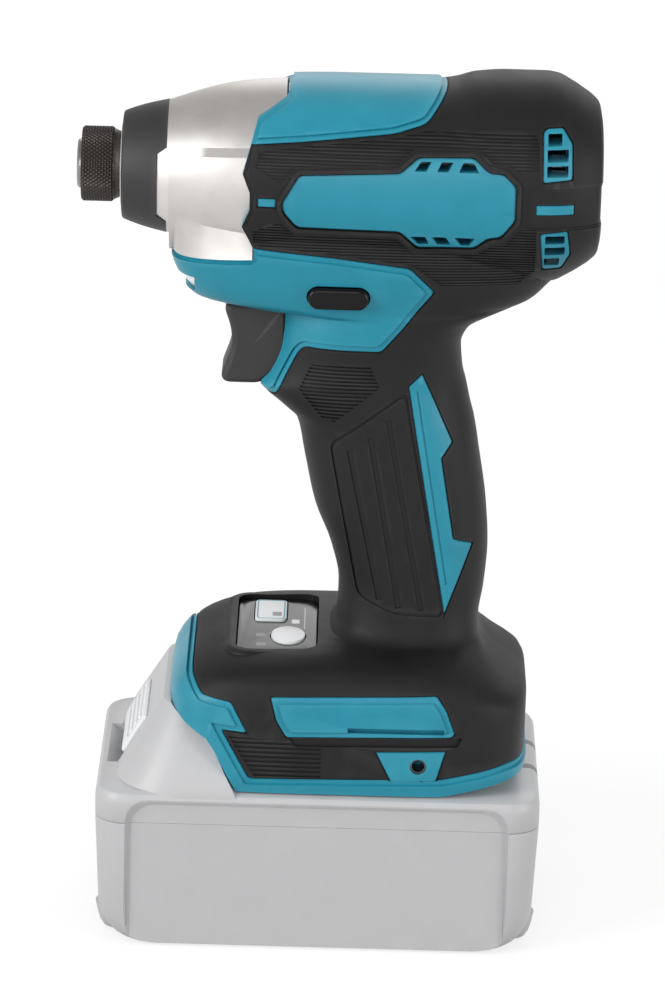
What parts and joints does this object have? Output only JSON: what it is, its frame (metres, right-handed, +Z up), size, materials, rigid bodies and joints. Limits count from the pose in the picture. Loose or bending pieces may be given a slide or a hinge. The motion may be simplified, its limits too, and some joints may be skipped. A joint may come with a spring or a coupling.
{
  "type": "impact driver",
  "caption": "Cordless impact driver with a hex bit chuck, moulded pistol grip with soft skin, trigger, work light, mode panel and slide-in battery pack.",
  "frame": {"origin": "middle of the tool's length and width, on the flat bottom of the battery pack", "axes": "+Z up, -X the way the bit points, -Y the operator's left side of the tool"},
  "size_m": [0.134, 0.075, 0.2277],
  "materials": {
    "teal_plastic": "fine moulded texture",
    "soft_grip": "matt, finely grained",
    "black_rubber": "matt",
    "screw_steel": "satin",
    "cast_alloy": "satin, bead blasted",
    "bronze": "satin",
    "tool_steel": "ground",
    "dark_steel": "blackened",
    "spring_steel": "drawn",
    "bearing_steel": "polished",
    "black_plastic": "satin",
    "lamination_steel": "stacked sheets",
    "copper": "enamelled",
    "pale_plastic": "satin",
    "board_green": "lacquered",
    "clear_lens": "clear",
    "white_plastic": "satin",
    "cell_wrap": "shrink wrap"
  },
  "bodies": {
    "housing": {"housing_left": "teal_plastic", "housing_right": "teal_plastic", "grip_left": "soft_grip", "grip_right": "soft_grip", "housing_screws": "screw_steel", "hammer_case": "cast_alloy", "bumper": "black_rubber", "anvil_bush": "bronze", "ring_gear": "dark_steel", "bearing_box": "black_plastic", "case_o_ring": "black_rubber", "spindle_bearing": "bearing_steel", "rotor_bearing_front": "bearing_steel", "rotor_bearing_rear": "bearing_steel", "stator_core": "lamination_steel", "stator_coils": "copper", "stator_insulators": "pale_plastic", "sensor_board": "board_green", "switch_body": "black_plastic", "trigger_spring": "spring_steel", "led_lens": "clear_lens", "led_board": "board_green", "controller": "black_plastic", "mode_panel": "black_plastic", "panel_board": "board_green", "terminal_block": "black_plastic", "hook_inserts": "bronze"},
    "spindle": {"spindle": "tool_steel", "planet_pins": "bearing_steel", "cam_balls": "bearing_steel", "hammer_spring": "spring_steel"},
    "anvil": {"anvil": "tool_steel", "bit_balls": "bearing_steel", "sleeve_ring": "tool_steel", "sleeve_spring": "spring_steel"},
    "bit_sleeve": {"bit_sleeve": "dark_steel"},
    "hammer": {"hammer": "dark_steel", "spring_washer": "tool_steel"},
    "planet_a": {"planet_gear_a": "tool_steel"},
    "planet_b": {"planet_gear_b": "tool_steel"},
    "rotor": {"rotor_shaft": "bearing_steel", "rotor_core": "dark_steel", "fan": "black_plastic"},
    "trigger": {"trigger": "black_plastic"},
    "direction_lever": {"direction_lever": "black_plastic"},
    "mode_button": {"mode_button": "white_plastic"},
    "light_button": {"light_button": "white_plastic"},
    "battery": {"battery_case_lower": "pale_plastic", "battery_case_upper": "pale_plastic", "battery_screws": "screw_steel", "battery_cells": "cell_wrap", "battery_board": "board_green", "battery_terminals": "copper", "release_springs": "spring_steel"},
    "release_button": {"release_button": "white_plastic"}
  },
  "joints": [
    {"name": "spindle_spin", "type": "hinge", "parent": "housing", "child": "spindle", "pos_m": [0, 0, 0.201], "axis": [1, 0, 0], "continuous": true},
    {"name": "anvil_spin", "type": "hinge", "parent": "housing", "child": "anvil", "pos_m": [0, 0, 0.201], "axis": [1, 0, 0], "continuous": true},
    {"name": "sleeve_pull", "type": "slide", "parent": "anvil", "child": "bit_sleeve", "axis": [-1, 0, 0], "range_m": [0, 0.003], "stiffness_N_per_m": 2667, "springref_m": -0.0012, "deforming": ["sleeve_spring"]},
    {"name": "hammer_recoil", "type": "slide", "parent": "spindle", "child": "hammer", "axis": [1, 0, 0], "range_m": [0, 0.006], "stiffness_N_per_m": 15000, "springref_m": -0.0024, "deforming": ["hammer_spring"]},
    {"name": "planet_a_spin", "type": "hinge", "parent": "spindle", "child": "planet_a", "pos_m": [0, 0, 0.1902], "axis": [1, 0, 0], "continuous": true},
    {"name": "planet_b_spin", "type": "hinge", "parent": "spindle", "child": "planet_b", "pos_m": [0, 0, 0.2118], "axis": [1, 0, 0], "continuous": true},
    {"name": "rotor_spin", "type": "hinge", "parent": "housing", "child": "rotor", "pos_m": [0, 0, 0.201], "axis": [1, 0, 0], "continuous": true},
    {"name": "trigger_pull", "type": "slide", "parent": "housing", "child": "trigger", "axis": [1, 0, 0], "range_m": [0, 0.007], "stiffness_N_per_m": 1714, "springref_m": -0.0028, "deforming": ["trigger_spring"]},
    {"name": "direction_push", "type": "slide", "parent": "housing", "child": "direction_lever", "axis": [0, 1, 0], "range_m": [-0.003, 0.003]},
    {"name": "mode_press", "type": "slide", "parent": "housing", "child": "mode_button", "axis": [0, 0, -1], "range_m": [0, 0.0006], "stiffness_N_per_m": 5000, "springref_m": -0.00024},
    {"name": "light_press", "type": "slide", "parent": "housing", "child": "light_button", "axis": [0, 0, -1], "range_m": [0, 0.0006], "stiffness_N_per_m": 5000, "springref_m": -0.00024},
    {"name": "battery_slide", "type": "slide", "parent": "housing", "child": "battery", "axis": [-1, 0, 0], "range_m": [0, 0.09]},
    {"name": "release_press", "type": "slide", "parent": "battery", "child": "release_button", "axis": [-0.5051, 0, -0.8631], "range_m": [0, 0.004], "stiffness_N_per_m": 3500, "springref_m": -0.0016, "deforming": ["release_springs"]}
  ],
  "couplings": [
    {"joint": "anvil_spin", "follows": "spindle_spin", "ratio": 1},
    {"joint": "planet_a_spin", "follows": "spindle_spin", "ratio": -2.8},
    {"joint": "planet_b_spin", "follows": "spindle_spin", "ratio": -2.8},
    {"joint": "rotor_spin", "follows": "spindle_spin", "ratio": 4.5}
  ]
}
